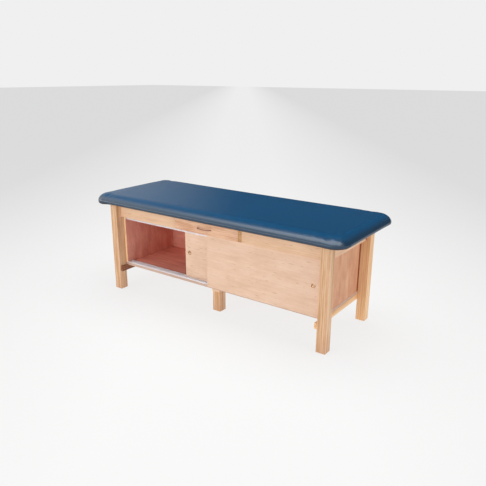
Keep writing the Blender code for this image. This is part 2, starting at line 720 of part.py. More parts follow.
def slide_profile(face_x, inward, half_height, reach):
    """Section (x, z) of a C-shaped slide member, its web on a face and its lips pointing inward."""
    web = face_x + inward * GAP
    web_inner = web + inward * SLIDE_SHEET
    tip = face_x + inward * reach
    low = SLIDE_CENTRE_Z - half_height
    high = SLIDE_CENTRE_Z + half_height
    lip_low = low + SLIDE_SHEET
    lip_high = high - SLIDE_SHEET
    return [(web, low), (tip, low), (tip, lip_low), (web_inner, lip_low),
            (web_inner, lip_high), (tip, lip_high), (tip, high), (web, high)]


def build_slides():
    """A fixed member on each rail and a moving one on each side of the drawer."""
    front = -LONG_APRON_INNER + 2 * GAP
    back = DRAWER_BOX_BACK_Y
    moving = []
    for name, rail_x, inward in (("left", RAIL_BEHIND_RIGHT, 1), ("right", POST_LEFT, -1)):
        profile_along("drawer_slide_fixed_" + name, "Y",
                      slide_profile(rail_x, inward, FIXED_SLIDE_HALF_HEIGHT, FIXED_SLIDE_REACH),
                      front, back, "steel")
        side_x = rail_x + inward * SLIDE_SPACE
        moving.append(profile_along(
            "drawer_slide_moving_" + name, "Y",
            slide_profile(side_x, -inward, MOVING_SLIDE_HALF_HEIGHT, MOVING_SLIDE_REACH),
            front, back, "steel"))
    return moving


def pull_curve():
    """The bow-shaped pull, from one foot on the drawer front to the other."""
    curve = bpy.data.curves.new("drawer_pull", "CURVE")
    curve.dimensions = "3D"
    curve.bevel_depth = PULL_RADIUS
    curve.bevel_resolution = 2
    curve.use_fill_caps = True
    spline = curve.splines.new("POLY")
    spline.points.add(PULL_POINTS - 1)
    for index, point in enumerate(spline.points):
        angle = math.pi * index / (PULL_POINTS - 1)
        across = math.copysign(abs(math.cos(angle)) ** PULL_SQUARENESS, math.cos(angle))
        out = max(math.sin(angle), 0.0) ** PULL_SQUARENESS
        point.co = (-PULL_HALF_SPAN * across, -PULL_PROJECTION * out, 0.0, 1.0)
    pull = bpy.data.objects.new("drawer_pull", curve)
    pull.location = (PULL_X, -LONG_APRON_OUTER - GAP, PULL_Z)
    PARTS.objects.link(pull)
    give_material(pull, "dark_bronze")
    return pull


def build_drawer():
    """Front, sides, back and bottom, with the pull and the screws that hold it."""
    left = RAIL_BEHIND_RIGHT + SLIDE_SPACE
    right = POST_LEFT - SLIDE_SPACE
    front_back = -LONG_APRON_INNER
    box_front = front_back + GAP
    side_bottom = DRAWER_BOX_BOTTOM + DRAWER_PLY + GAP
    front = box("drawer_front", (DRAWER_FRONT_LEFT, -LONG_APRON_OUTER, DRAWER_FRONT_BOTTOM),
                (DRAWER_FRONT_RIGHT, front_back, DRAWER_FRONT_TOP), "drawer_wood", BOARD_ROUND,
                ROUND_SEGMENTS)
    bottom = box("drawer_bottom", (left, box_front, DRAWER_BOX_BOTTOM),
                 (right, DRAWER_BOX_BACK_Y, DRAWER_BOX_BOTTOM + DRAWER_PLY), "inner_wood",
                 edge=0)
    sides = []
    for name, low in (("left", left), ("right", right - DRAWER_SIDE_THICKNESS)):
        sides.append(box("drawer_side_" + name, (low, box_front, side_bottom),
                         (low + DRAWER_SIDE_THICKNESS, DRAWER_BOX_BACK_Y, DRAWER_BOX_TOP),
                         "apron_wood"))
    inset = DRAWER_SIDE_THICKNESS + GAP
    back = box("drawer_back", (left + inset, DRAWER_BOX_BACK_Y - DRAWER_SIDE_THICKNESS,
                               side_bottom),
               (right - inset, DRAWER_BOX_BACK_Y, DRAWER_BOX_TOP), "apron_wood")
    pull = pull_curve()
    screws = [put_screw("drawer_pull_screw_" + name,
                        facing((PULL_X + sign * PULL_HALF_SPAN, front_back, PULL_Z), "+Y"),
                        APRON_THICKNESS, front) for name, sign in SIDES_X.items()]
    parts = [front, bottom, back, pull] + screws + sides + build_slides()
    middle = (DRAWER_FRONT_LEFT + DRAWER_FRONT_RIGHT) / 2
    ride_on(parent_empty("drawer_slide", (middle, front_back, SLIDE_CENTRE_Z)), parts)


# ---------------------------------------------------------------------------------------------
# Padded top
# ---------------------------------------------------------------------------------------------

def build_pad():
    """A plywood board with foam over and round it, in a vinyl cover that turns in underneath."""
    inner_bottom = PAD_BOTTOM + COVER_THICKNESS
    board_bottom = inner_bottom + GAP
    board_top = board_bottom + PAD_BOARD_THICKNESS
    board_x = PAD_HALF_LENGTH - PAD_BOARD_INSET
    board_y = PAD_HALF_WIDTH - PAD_BOARD_INSET

    cover = pad_form("pad_cover", 0.0, "blue_vinyl", PARTS)
    cut(cover, as_cutter(pad_form("cover_hollow", COVER_THICKNESS, "foam", CUTTERS)))
    open_x = PAD_HALF_LENGTH - COVER_TURN_UNDER
    open_y = PAD_HALF_WIDTH - COVER_TURN_UNDER
    cut(cover, box_cutter("cover_opening", (-open_x, -open_y, PAD_BOTTOM - CUTTER_OVERRUN),
                          (open_x, open_y, inner_bottom + CUTTER_OVERRUN)))

    foam = pad_form("pad_foam", COVER_THICKNESS + GAP, "foam", PARTS)
    cut(foam, as_cutter(slab("board_pocket", board_x + GAP, board_y + GAP,
                             PAD_BOTTOM - CUTTER_OVERRUN, board_top + GAP, PAD_BOARD_CORNER,
                             "foam", CUTTERS)))
    slab("pad_board", board_x, board_y, board_bottom, board_top, PAD_BOARD_CORNER, "inner_wood",
         PARTS)


def build_table():
    """Build every part of the table."""
    build_corner_legs()
    build_centre_support()
    build_glides()
    build_end_rails()
    build_aprons()
    build_drawer_rails()
    build_corner_blocks()
    build_cabinet()
    build_panel_cleats()
    build_tracks()
    build_front_door()
    build_rear_door()
    build_drawer()
    build_pad()


build_table()
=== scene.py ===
"""Looks of the wooden treatment table: an upholstered top, wood, metal and nylon finishes,
fasteners, a plain pale studio and the camera.  All values are in metres unless they say so.
"""

import json
import math
from collections import namedtuple

import bmesh
import bpy
import numpy as np
from mathutils import Matrix, Vector


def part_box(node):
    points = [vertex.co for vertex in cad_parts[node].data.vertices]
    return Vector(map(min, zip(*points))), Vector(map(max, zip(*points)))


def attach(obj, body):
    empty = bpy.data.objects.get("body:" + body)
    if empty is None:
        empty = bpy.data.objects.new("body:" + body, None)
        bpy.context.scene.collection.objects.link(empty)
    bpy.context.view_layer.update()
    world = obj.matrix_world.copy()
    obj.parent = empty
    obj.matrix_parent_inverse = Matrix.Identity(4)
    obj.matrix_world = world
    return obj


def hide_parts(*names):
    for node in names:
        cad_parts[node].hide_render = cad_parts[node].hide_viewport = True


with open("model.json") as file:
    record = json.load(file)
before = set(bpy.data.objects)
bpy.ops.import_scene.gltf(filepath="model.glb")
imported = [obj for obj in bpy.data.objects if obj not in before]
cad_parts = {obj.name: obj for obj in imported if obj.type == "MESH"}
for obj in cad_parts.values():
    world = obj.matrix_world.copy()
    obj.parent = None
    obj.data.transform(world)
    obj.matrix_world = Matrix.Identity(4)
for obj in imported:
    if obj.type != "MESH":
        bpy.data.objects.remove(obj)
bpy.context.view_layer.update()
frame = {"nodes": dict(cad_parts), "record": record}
NODES = frame["nodes"]

INCH = 0.0254

# Camera ---------------------------------------------------------------------------------------
CAMERA_PLACE = Vector((2.1566, -2.9085, 1.5846))
CAMERA_AZIMUTH = math.radians(35.753)
CAMERA_ELEVATION = math.radians(18.13)
CAMERA_ROLL = math.radians(0.217)
CAMERA_SENSOR = 36.0                        # mm
CAMERA_LENS = 39.782                        # mm
CAMERA_SHIFT = (0.00451, 0.01514)

# Upholstery -----------------------------------------------------------------------------------
PAD_LOW, PAD_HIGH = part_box("pad_cover")
PAD_HALF_LENGTH = PAD_HIGH.x
PAD_HALF_WIDTH = PAD_HIGH.y
PAD_BOTTOM = PAD_LOW.z
PAD_TOP = PAD_HIGH.z
PAD_WIDEST = 27.25 * INCH
PAD_CORNER = 4.3 * INCH
PAD_TOP_ROLL = 3.2 * INCH
PAD_BOTTOM_ROLL = 2.4 * INCH
PAD_SWELL = 0.004                           # the start form lies this far inside the final one
PAD_VOXEL = 0.008
PAD_PRESSURE = 4.0
PAD_CAP = 0.005                             # the most that a point may move in the simulation
PAD_FRAMES = 20
PAD_STIFFNESS = 40.0
PAD_BENDING = 2.0
PAD_CORNER_STEPS = 24
PAD_ROLL_STEPS = 12
VINYL_TURN_UNDER = 4.0 * INCH
VINYL_THICKNESS = 0.0012
PLEATS_PER_CORNER = 5
PLEAT_DEPTH = 0.0022
PLEAT_WIDTH = 0.010
CORNER_SAG = {(-1, -1): 0.022, (-1, 1): 0.012, (1, -1): 0.006, (1, 1): 0.006}
SAG_RISE = 0.010                            # how far above the widest line it starts
SAG_CLEARANCE = 0.020                       # it is full this far outside a leg
SAG_REACH = 0.20                            # from a corner of the pad
SAG_FALL_OFF = 1.5


# ----------------------------------------------------------------------------------------------
# Node helpers
# ----------------------------------------------------------------------------------------------

def display(red, green, blue):
    """A linear colour from display values of 0 to 255."""
    return tuple(pow((value / 255 + 0.055) / 1.055, 2.4) for value in (red, green, blue)) + (1.0,)


class Tree:
    """A short way to add and join nodes in one node tree."""

    def __init__(self, tree):
        self.tree = tree

    def add(self, kind, inputs=None, **settings):
        """Add a node; an input is a value or another node's output socket."""
        node = self.tree.nodes.new(kind)
        for key, value in settings.items():
            setattr(node, key, value)
        for key, value in (inputs or {}).items():
            if isinstance(value, bpy.types.NodeSocket):
                self.tree.links.new(value, node.inputs[key])
            else:
                node.inputs[key].default_value = value
        return node

    def maths(self, operation, first, second):
        """The output of a Math node."""
        return self.add("ShaderNodeMath", {0: first, 1: second}, operation=operation).outputs[0]

    def absolute(self, value):
        """A value without its sign."""
        return self.add("ShaderNodeMath", {0: value}, operation="ABSOLUTE").outputs[0]

    def spread(self, value, low, high, out_low, out_high):
        """Map a range onto another, held at its ends."""
        node = self.add("ShaderNodeMapRange", {"Value": value, "From Min": low, "From Max": high,
                                               "To Min": out_low, "To Max": out_high})
        return node.outputs["Result"]

    def stretched(self, vector, place, scale):
        """A coordinate moved and scaled."""
        node = self.add("ShaderNodeMapping", {"Vector": vector, "Location": place,
                                              "Scale": scale})
        return node.outputs["Vector"]

    def noise(self, vector, scale, detail=3.0, roughness=0.5):
        """Noise from 0 to 1."""
        node = self.add("ShaderNodeTexNoise", {"Vector": vector, "Scale": scale,
                                               "Detail": detail, "Roughness": roughness})
        return node.outputs["Fac"]

    def blend(self, factor, first, second):
        """Mix two colours."""
        node = self.add("ShaderNodeMix", data_type="RGBA")
        for socket, value in ((node.inputs[0], factor), (node.inputs[6], first),
                              (node.inputs[7], second)):
            if isinstance(value, bpy.types.NodeSocket):
                self.tree.links.new(value, socket)
            else:
                socket.default_value = value
        return node.outputs[2]

    def bump(self, height, strength, distance):
        """A bumped normal."""
        node = self.add("ShaderNodeBump", {"Height": height, "Strength": strength,
                                           "Distance": distance})
        return node.outputs["Normal"]


def new_material(name):
    """A material with an empty tree, its shader and object coordinates."""
    material = bpy.data.materials.new(name)
    material.use_nodes = True
    tree = Tree(material.node_tree)
    shader = material.node_tree.nodes["Principled BSDF"]
    coordinates = tree.add("ShaderNodeTexCoord").outputs["Object"]
    return material, tree, shader, coordinates


def connect(tree, shader, links):
    """Join outputs to the shader's sockets."""
    for key, socket in links.items():
        tree.tree.links.new(socket, shader.inputs[key])


# ----------------------------------------------------------------------------------------------
# Materials
# ----------------------------------------------------------------------------------------------

GRAIN_ORDER = {"X": "XYZ", "Y": "YZX", "Z": "ZXY"}
# Two colours, the strengths of rings, streaks and mottling, how far the rings are distorted,
# roughness, and how softly the two colours meet
Wood = namedtuple("Wood", "light dark ring streak mottle distortion roughness softness")
WOODS = {
    "leg_wood": Wood(
        display(234, 196, 160), display(200, 152, 110), 0.10, 0.80, 0.12, 4.0, 0.42, 0.09),
    # Painted light: a paler copy of leg_wood, which makes the back-right leg and the right end
    # rail look more brightly lit
    "pale_leg_wood": Wood(
        display(250, 210, 164), display(226, 172, 122), 0.10, 0.80, 0.12, 4.0, 0.42, 0.12),
    # Painted shade: a darker copy of post_wood, for the left end rail, whose inner face lies in
    # shade under the shelf
    "dark_rail_wood": Wood(
        display(160, 106, 76), display(128, 80, 56), 0.15, 0.50, 0.30, 3.0, 0.52, 0.14),
    # A darker, greyer copy of apron_wood, for the shelf
    "worn_edge_wood": Wood(
        display(212, 184, 166), display(192, 160, 142), 0.06, 0.44, 0.45, 8.0, 0.48, 0.16),
    "apron_wood": Wood(
        display(242, 206, 174), display(222, 178, 142), 0.06, 0.44, 0.45, 8.0, 0.42, 0.16),
    "drawer_wood": Wood(
        display(240, 196, 164), display(206, 152, 116), 0.08, 0.38, 0.55, 12.0, 0.40, 0.10),
    "post_wood": Wood(
        display(212, 166, 120), display(182, 132, 84), 0.15, 0.50, 0.30, 3.0, 0.50, 0.12),
    "door_wood": Wood(
        display(240, 208, 184), display(222, 184, 156), 0.04, 0.40, 0.56, 9.0, 0.40, 0.16),
    "panel_wood": Wood(
        display(230, 180, 144), display(204, 142, 110), 0.05, 0.20, 0.75, 9.0, 0.46, 0.14),
    "inner_wood": Wood(
        display(248, 182, 162), display(222, 146, 128), 0.06, 0.34, 0.55, 8.0, 0.55, 0.16),
}
# Nodes whose wood isn't the one that their slot names
OWN_WOOD = {
    # painted light: a paler wood on the back-right leg
    "leg_back_right": "pale_leg_wood",
    # painted shade: a darker wood on the left end rail
    "end_rail_left": "dark_rail_wood",
    # painted light: a paler wood on the right end rail
    "end_rail_right": "pale_leg_wood",
    # a greyer, darker wood on the shelf
    "cabinet_bottom": "worn_edge_wood",
    "cabinet_back": "panel_wood",
}
WOOD_SPECULAR = 0.22
RING_SCALE = 26.0
STREAK_SCALE = 55.0
CLOUD_SCALE = 17.0
PORE_SCALE = 620.0
FLECK_SCALE = 120.0
# How far each pattern is drawn out along the board
RING_STRETCH = (0.16, 1.0, 1.0)
STREAK_STRETCH = (0.05, 1.0, 1.0)
CLOUD_STRETCH = (0.35, 1.0, 1.0)
FLECK_STRETCH = (0.14, 1.0, 1.0)

FLECKED = ("right_door_panel", "left_door_panel", "apron_front_left", "apron_front_right",
           "cabinet_panel_left", "cabinet_panel_right")
FLECK_COLOUR = display(188, 146, 112)
SCUFF_HEIGHT = 0.16                         # legs of leg_wood are duller below this
SCUFF_COLOUR = display(190, 138, 108)

# Painted shade: a dark line on the right end's boards where they meet the back leg, standing for
# the shade in the corner there; measured forwards from the back leg
GAP_SHADE_BOARDS = ("cabinet_panel_right", "apron_right")
GAP_SHADE_FULL = 0.016
GAP_SHADE_END = 0.018
GAP_SHADE_COLOUR = display(150, 74, 44)
# Painted highlight: a pale line on the end panels, standing for light falling on their front
# edges; measured back from their front edges
LIT_EDGE_PANELS = ("cabinet_panel_left", "cabinet_panel_right")
LIT_EDGE_FULL = 0.0011
LIT_EDGE_END = 0.0017
LIT_EDGE_COLOUR = display(255, 214, 166)
# The face of each board that is stained: its axis, and whether it is the low or the high one
LOW, HIGH = 0, 1
STAINED_FACES = {
    "cabinet_panel_left": ("X", HIGH),
    "cabinet_panel_right": ("X", LOW),
    "cabinet_bottom": ("Z", HIGH),
    "cabinet_back": ("Y", LOW),
}
STAIN_FULL = 0.0005                         # how deep the stain is even
STAIN_END = 0.0012                          # and where it has gone


def add_wood_marks(tree, name, place, share, colour):
    """Paint the marks that a board has: painted shade where the right end's boards meet the back
    leg, a painted highlight on the end panels' front edges, and the stain; place gives X, Y and
    Z.
    """
    # painted shade: a dark line where the right end's boards meet the back leg
    if name in GAP_SHADE_BOARDS:
        leg_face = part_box("leg_back_right")[LOW].y
        line = tree.spread(place["Y"], leg_face - GAP_SHADE_END, leg_face - GAP_SHADE_FULL,
                           0.0, 1.0)
        colour = tree.blend(line, colour, GAP_SHADE_COLOUR)
    # painted highlight: a pale line along the end panels' front edges
    if name in LIT_EDGE_PANELS:
        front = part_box(name)[LOW].y
        edge = tree.spread(place["Y"], front + LIT_EDGE_FULL, front + LIT_EDGE_END, 1.0, 0.0)
        colour = tree.blend(edge, colour, LIT_EDGE_COLOUR)
    if name in STAINED_FACES:
        letter, end = STAINED_FACES[name]
        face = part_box(name)[end]["XYZ".index(letter)]
        depth = tree.absolute(tree.maths("SUBTRACT", place[letter], face))
        stain = tree.blend(share, WOODS["inner_wood"].light, WOODS["inner_wood"].dark)
        colour = tree.blend(tree.spread(depth, STAIN_FULL, STAIN_END, 1.0, 0.0), colour, stain)
    return colour


def wood(finish, name, axis, seed):
    """Solid wood with growth rings, streaks and pores that run along one axis of the board."""
    look = WOODS[finish]
    material, tree, shader, coordinates = new_material(finish + "_" + name)
    place = tree.add("ShaderNodeSeparateXYZ", {"Vector": coordinates}).outputs
    order = [place[letter] for letter in GRAIN_ORDER[axis]]
    along = tree.add("ShaderNodeCombineXYZ", dict(enumerate(order))).outputs["Vector"]
    # Each board is cut from a different place in the patterns
    shift = (1.7 * seed, 0.31 * seed, 0.53 * seed)
    heart = (0.6 * seed, 0.17 + 0.02 * (seed % 5), 0.23 + 0.03 * (seed % 4))

    rings = tree.add("ShaderNodeTexWave", {
        "Vector": tree.stretched(along, heart, RING_STRETCH), "Scale": RING_SCALE,
        "Distortion": look.distortion, "Detail": 4.0, "Detail Scale": 0.7,
        "Detail Roughness": 0.6}, wave_type="RINGS", rings_direction="X").outputs["Fac"]
    streak_place = tree.stretched(along, shift, STREAK_STRETCH)
    streaks = tree.noise(streak_place, STREAK_SCALE, detail=6.0, roughness=0.62)
    pores = tree.noise(streak_place, PORE_SCALE, detail=2.0)
    clouds = tree.noise(tree.stretched(along, shift, CLOUD_STRETCH), CLOUD_SCALE, detail=5.0,
                        roughness=0.6)

    total = look.ring + look.streak + look.mottle
    weighed = [tree.maths("MULTIPLY", value, weight / total) for value, weight in
               ((rings, look.ring), (streaks, look.streak), (clouds, look.mottle))]
    mixed = tree.maths("ADD", tree.maths("ADD", weighed[0], weighed[1]), weighed[2])
    share = tree.spread(mixed, 0.5 - look.softness, 0.5 + look.softness, 0.0, 1.0)
    colour = tree.blend(share, look.light, look.dark)
    colour = add_wood_marks(tree, name, place, share, colour)
    colour = tree.blend(tree.spread(pores, 0.52, 0.72, 0.0, 0.35), colour, look.dark)
    if name in FLECKED:
        flecks = tree.noise(tree.stretched(along, shift, FLECK_STRETCH), FLECK_SCALE, detail=1.0)
        colour = tree.blend(tree.spread(flecks, 0.66, 0.74, 0.0, 0.5), colour, FLECK_COLOUR)
    if finish == "leg_wood":
        rise = tree.maths("ADD", place["Z"], tree.maths("MULTIPLY", clouds, 0.06))
        scuffs = tree.spread(rise, 0.02, SCUFF_HEIGHT, 0.45, 0.0)
        colour = tree.blend(scuffs, colour, SCUFF_COLOUR)
    connect(tree, shader, {
        "Base Color": colour,
        "Roughness": tree.spread(streaks, 0.3, 0.7, look.roughness - 0.05,
                                 look.roughness + 0.07),
        "Normal": tree.bump(tree.maths("ADD", pores, weighed[1]), 0.18, 0.0004),
    })
    shader.inputs["Specular IOR Level"].default_value = WOOD_SPECULAR
    return material


# Greyer, darker vinyl round the edge: partly rubbed wear, partly painted reflection and shade;
# measured down from the top
EDGE_WEAR_AND_REFLECTION_START = 0.008
EDGE_WEAR_AND_REFLECTION_FULL = 0.030
EDGE_WEAR_AND_REFLECTION_TINT = 0.75
EDGE_WEAR_AND_REFLECTION_COLOUR = (0.016, 0.034, 0.056, 1.0)
# Painted shade: the vinyl's dark, dull lower edge where it curves under, measured up from the
# frame
UNDERSIDE_SHADE_FULL = 0.009
UNDERSIDE_SHADE_END = 0.013
UNDERSIDE_SHADE_COLOUR = (0.016, 0.015, 0.022, 1.0)
UNDERSIDE_SHADE_DULLNESS = 0.5
VINYL_DARK = (0.004, 0.058, 0.140, 1.0)
VINYL_LIGHT = (0.005, 0.066, 0.164, 1.0)
# painted shade in the hollows of the pebbled grain
VINYL_HOLLOW_SHADE = (0.002, 0.020, 0.048, 1.0)
VINYL_PEBBLES = 720.0                       # scale of the pebbled grain
VINYL_SPECULAR = 0.50


def vinyl():
    """Blue upholstery vinyl: pebbled grain, faint clouding and a soft shine, with painted shade
    in the grain's hollows and along the lower edge, and painted reflection and shade with some
    rubbed wear round the top edge.
    """
    material, tree, shader, coordinates = new_material("blue_vinyl")
    cloud = tree.noise(coordinates, 3.2, 3.0)
    handled = tree.noise(coordinates, 26.0, 4.0, 0.6)
    cells = tree.add("ShaderNodeTexVoronoi", {"Vector": coordinates, "Scale": VINYL_PEBBLES,
                                              "Randomness": 0.9}, feature="SMOOTH_F1")
    fine = tree.noise(coordinates, 1600.0, 2.0)
    colour = tree.blend(cloud, VINYL_DARK, VINYL_LIGHT)
    # painted shade: the pebbled grain is darkened in its hollows
    hollow_shade = tree.spread(cells.outputs["Distance"], 0.35, 0.75, 0.0, 0.10)
    colour = tree.blend(hollow_shade, colour, VINYL_HOLLOW_SHADE)
    level = tree.add("ShaderNodeSeparateXYZ", {"Vector": coordinates}).outputs["Z"]
    # painted reflection and shade, with some rubbed wear: the vinyl turns greyer and darker round
    # the top edge
    roll = tree.spread(level, PAD_TOP - EDGE_WEAR_AND_REFLECTION_FULL, PAD_TOP - EDGE_WEAR_AND_REFLECTION_START, EDGE_WEAR_AND_REFLECTION_TINT, 0.0)
    colour = tree.blend(roll, colour, EDGE_WEAR_AND_REFLECTION_COLOUR)
    # painted shade along the lower edge, where the vinyl curves under
    underside_shade = tree.spread(level, PAD_BOTTOM + UNDERSIDE_SHADE_FULL, PAD_BOTTOM + UNDERSIDE_SHADE_END, 1.0, 0.0)
    colour = tree.blend(underside_shade, colour, UNDERSIDE_SHADE_COLOUR)
    height = tree.maths("SUBTRACT", tree.maths("MULTIPLY", fine, 0.25),
                        cells.outputs["Distance"])
    duller = tree.maths("MULTIPLY", underside_shade, UNDERSIDE_SHADE_DULLNESS)
    connect(tree, shader, {
        "Base Color": colour,
        "Roughness": tree.maths("ADD", duller, tree.spread(handled, 0.35, 0.65, 0.19, 0.26)),
        "Normal": tree.bump(height, 0.10, 0.00010),
    })
    shader.inputs["Specular IOR Level"].default_value = VINYL_SPECULAR
    return material


def brushed_metal(name, light, dark, roughness, stretch, metallic=1.0):
    """Metal with fine lines along the stretched direction and patches of duller surface."""
    material, tree, shader, coordinates = new_material(name)
    lines = tree.noise(tree.stretched(coordinates, (0.0, 0.0, 0.0), stretch), 900.0, 3.0)
    patches = tree.noise(coordinates, 22.0, 4.0, 0.6)
    share = tree.maths("ADD", tree.maths("MULTIPLY", lines, 0.5),
                       tree.maths("MULTIPLY", patches, 0.5))
    connect(tree, shader, {
        "Base Color": tree.blend(tree.spread(share, 0.35, 0.65, 0.0, 1.0), dark, light),
        "Roughness": tree.spread(patches, 0.3, 0.7, roughness - 0.06, roughness + 0.12),
        "Normal": tree.bump(lines, 0.10, 0.0001),
    })
    shader.inputs["Metallic"].default_value = metallic
    return material


def nylon():
    """Off-white moulded nylon with a fine moulding texture and some grime."""
    material, tree, shader, coordinates = new_material("nylon")
    grime = tree.noise(coordinates, 60.0, 4.0, 0.6)
    texture = tree.noise(coordinates, 1400.0, 2.0)
    connect(tree, shader, {
        "Base Color": tree.blend(tree.spread(grime, 0.35, 0.7, 0.0, 1.0),
                                 (0.80, 0.78, 0.72, 1.0), (0.62, 0.58, 0.50, 1.0)),
        "Roughness": tree.spread(grime, 0.3, 0.7, 0.42, 0.58),
        "Normal": tree.bump(texture, 0.15, 0.0001),
    })
    return material


def foam():
    """Cream polyurethane foam with open cells, with painted shade in the cells."""
    material, tree, shader, coordinates = new_material("foam")
    cells = tree.add("ShaderNodeTexVoronoi", {"Vector": coordinates, "Scale": 800.0})
    # painted shade: the foam is darker in the hollows of its cells
    connect(tree, shader, {
        "Base Color": tree.blend(cells.outputs["Distance"], (0.60, 0.52, 0.26, 1.0),
                                 (0.78, 0.72, 0.46, 1.0)),
        "Normal": tree.bump(cells.outputs["Distance"], 0.5, 0.0006),
    })
    shader.inputs["Roughness"].default_value = 0.95
    return material


PLAIN = {
    "aluminium": brushed_metal("aluminium", (0.76, 0.72, 0.73, 1), (0.64, 0.60, 0.61, 1), 0.42,
                               (0.02, 1.0, 1.0), 0.55),
    "steel": brushed_metal("steel", (0.62, 0.62, 0.63, 1), (0.42, 0.42, 0.44, 1), 0.32,
                           (1.0, 0.03, 1.0)),
    "brass": brushed_metal("brass", (0.72, 0.50, 0.33, 1), (0.44, 0.28, 0.17, 1), 0.32,
                           (1.0, 1.0, 0.05), 0.80),
    "dark_bronze": brushed_metal("dark_bronze", (0.46, 0.20, 0.15, 1),
                                 (0.28, 0.12, 0.09, 1), 0.36, (0.05, 1.0, 1.0), 0.30),
    "nylon": nylon(),
    "foam": foam(),
    "blue_vinyl": vinyl(),
}

ACROSS = ("apron_left", "apron_right", "end_rail_", "centre_rail", "drawer_rail_",
          "drawer_side_")
UPRIGHT = ("leg_", "centre_leg_", "cabinet_panel_")


def grain_axis(name):
    """The axis that a board's grain runs along."""
    if name.startswith(UPRIGHT):
        return "Z"
    return "Y" if name.startswith(ACROSS) else "X"


def dress_cad_nodes():
    """Give every CAD node its finish; each board has a piece of wood of its own."""
    slots = {part["node"]: part["material_slot"] for part in frame["record"]["subparts"]}
    for seed, name in enumerate(sorted(NODES)):
        finish = slots[name]
        if finish in WOODS:
            material = wood(OWN_WOOD.get(name, finish), name, grain_axis(name), seed + 1)
        else:
            material = PLAIN[finish]
        mesh = NODES[name].data
        mesh.materials.clear()
        mesh.materials.append(material)


# ----------------------------------------------------------------------------------------------
# Mesh helpers
# ----------------------------------------------------------------------------------------------

SMOOTH_ANGLE = math.radians(35)             # edges sharper than this stay sharp


def add_piece(name, bm, finish, body):
    """Make an object from a bmesh, with its finish, riding on a body."""
    mesh = bpy.data.meshes.new(name)
    bm.to_mesh(mesh)
    bm.free()
    mesh.shade_smooth()
    mesh.set_sharp_from_angle(angle=SMOOTH_ANGLE)
    mesh.materials.append(PLAIN[finish])
    piece = bpy.data.objects.new(name, mesh)
    bpy.context.scene.collection.objects.link(piece)
    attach(piece, body)


def facing(place, direction):
    """A matrix at a place whose Z points along a direction."""
    turn = Vector(direction).to_track_quat("Z", "Y").to_matrix().to_4x4()
    return Matrix.Translation(Vector(place)) @ turn


def add_revolved(bm, profile, place, steps):
    """Add a closed turned form; the profile (radius, height) starts and ends on the axis."""
    rings = []
    for radius, height in profile:
        if radius == 0.0:
            rings.append([bm.verts.new(place @ Vector((0.0, 0.0, height)))])
            continue
        rings.append([bm.verts.new(place @ Vector((
            radius * math.cos(2 * math.pi * i / steps),
            radius * math.sin(2 * math.pi * i / steps), height))) for i in range(steps)])
    for upper, lower in zip(rings, rings[1:]):
        for i in range(steps):
            j = (i + 1) % steps
            if len(upper) == 1:
                bm.faces.new((upper[0], lower[i], lower[j]))
            elif len(lower) == 1:
                bm.faces.new((upper[i], lower[0], upper[j]))
            else:
                bm.faces.new((upper[i], lower[i], lower[j], upper[j]))


CROSS_ARM = 0.52                            # of the head's radius
CROSS_WIDTH = 0.15
CROSS_TAPER = 0.7
CROSS_FLOOR = 0.2                           # of the head's height
HEAD_STEPS = 24
# Shares of the head's radius and height, from its seat up
HEAD_RINGS = ((1.0, 0.0), (1.0, 0.45), (0.86, 0.85), (0.68, 1.0))


def add_cross_head(bm, place, radius, height):
    """Add a screw head with a domed rim and a cross recess."""
    def ring(scale, z):
        return [bm.verts.new(place @ Vector((
            radius * scale * math.cos(2 * math.pi * i / HEAD_STEPS),
            radius * scale * math.sin(2 * math.pi * i / HEAD_STEPS), z)))
            for i in range(HEAD_STEPS)]

    arm, width = CROSS_ARM * radius, CROSS_WIDTH * radius
    outline = []
    for quarter in range(4):
        turn = Matrix.Rotation(quarter * math.pi / 2, 2)
        for corner in ((arm, -width), (arm, width), (width, width)):
            outline.append(turn @ Vector(corner))
    rings = [ring(scale, rise * height) for scale, rise in HEAD_RINGS]
    for low, high in zip(rings, rings[1:]):
        for i in range(HEAD_STEPS):
            j = (i + 1) % HEAD_STEPS
            bm.faces.new((low[i], low[j], high[j], high[i]))
    lip = [bm.verts.new(place @ Vector((p.x, p.y, height))) for p in outline]
    floor = [bm.verts.new(place @ Vector((p.x * CROSS_TAPER, p.y * CROSS_TAPER,
                                          CROSS_FLOOR * height))) for p in outline]
    edges = [bm.edges.get((rings[-1][i], rings[-1][(i + 1) % HEAD_STEPS]))
             for i in range(HEAD_STEPS)]
    for i in range(len(lip)):
        j = (i + 1) % len(lip)
        bm.faces.new((lip[i], floor[i], floor[j], lip[j]))
        edges.append(bm.edges.get((lip[i], lip[j])))
    bmesh.ops.triangle_fill(bm, edges=edges, use_beauty=True)
    bm.faces.new(floor)
    bm.faces.new(list(reversed(rings[0])))


def screws(name, places, direction, radius, height, body, finish="steel"):
    """One piece of cross-head screws that all face one way."""
    bm = bmesh.new()
    for place in places:
        add_cross_head(bm, facing(place, direction), radius, height)
    bmesh.ops.recalc_face_normals(bm, faces=bm.faces)
    add_piece(name, bm, finish, body)


# ----------------------------------------------------------------------------------------------
# Upholstered top
# ----------------------------------------------------------------------------------------------

def pad_ring(bm, inset, z):
    """One level of the pad: a rectangle with rounded plan corners."""
    centre_x = PAD_HALF_LENGTH - PAD_CORNER
    centre_y = PAD_HALF_WIDTH - PAD_CORNER
    radius = PAD_CORNER - inset
    ring = []
    for quarter, (x_sign, y_sign) in enumerate(((1, 1), (-1, 1), (-1, -1), (1, -1))):
        for step in range(PAD_CORNER_STEPS + 1):
            angle = (quarter + step / PAD_CORNER_STEPS) * math.pi / 2
            ring.append(bm.verts.new((x_sign * centre_x + radius * math.cos(angle),
                                      y_sign * centre_y + radius * math.sin(angle), z)))
    return ring


